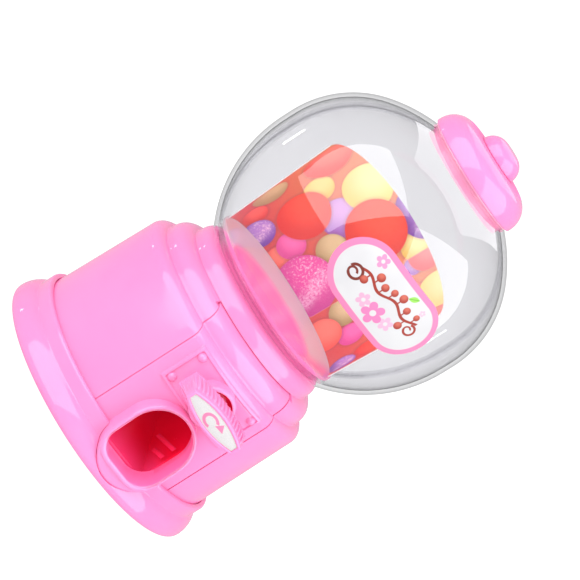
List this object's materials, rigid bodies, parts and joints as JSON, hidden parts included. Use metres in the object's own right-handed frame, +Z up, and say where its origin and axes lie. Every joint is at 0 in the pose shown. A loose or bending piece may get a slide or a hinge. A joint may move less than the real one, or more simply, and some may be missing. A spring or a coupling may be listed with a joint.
{
  "type": "gumball machine",
  "caption": "Small table-top gumball machine: round stepped base with chute and turning knob, clear two-part globe with a picture card inside, and a lift-off lid.",
  "frame": {"origin": "centre of the foot's flat underside", "axes": "+Z up along the globe's and base's common axis, -Y to the front, where the knob and the mouth are, +X to the right-hand side of someone who looks along +Y at the front"},
  "size_m": [0.0854, 0.0924, 0.1413],
  "materials": {
    "pink_plastic": "glossy",
    "inner_plastic": "glossy",
    "white_plastic": "satin",
    "clear_plastic": "clear, glossy",
    "printed_card": "printed, satin",
    "sticker": "printed, glossy",
    "screw_steel": "zinc plated"
  },
  "bodies": {
    "machine": {"foot_base": "pink_plastic", "body_shell": "pink_plastic", "front_panel": "pink_plastic", "hopper": "pink_plastic", "wheel_housing": "inner_plastic", "chute": "inner_plastic", "base_screws": "screw_steel", "chute_screws": "screw_steel", "hopper_screws": "screw_steel", "housing_screws": "screw_steel", "globe_front": "clear_plastic", "globe_back": "clear_plastic", "globe_label": "sticker", "picture_card": "printed_card"},
    "knob": {"turn_knob": "pink_plastic", "knob_label": "sticker", "drive_shaft": "white_plastic", "dispensing_wheel": "white_plastic", "shaft_washer": "screw_steel", "shaft_screw": "screw_steel"},
    "lid": {"lid": "pink_plastic", "lid_sleeve": "pink_plastic", "lid_finial": "pink_plastic"}
  },
  "joints": [
    {"name": "knob_turn", "type": "hinge", "parent": "machine", "child": "knob", "pos_m": [0, -0.02, 0.0382], "axis": [0, 1, 0], "continuous": true},
    {"name": "lid_lift", "type": "slide", "parent": "machine", "child": "lid", "axis": [0, 0, 1], "range_m": [0, 0.06]}
  ]
}
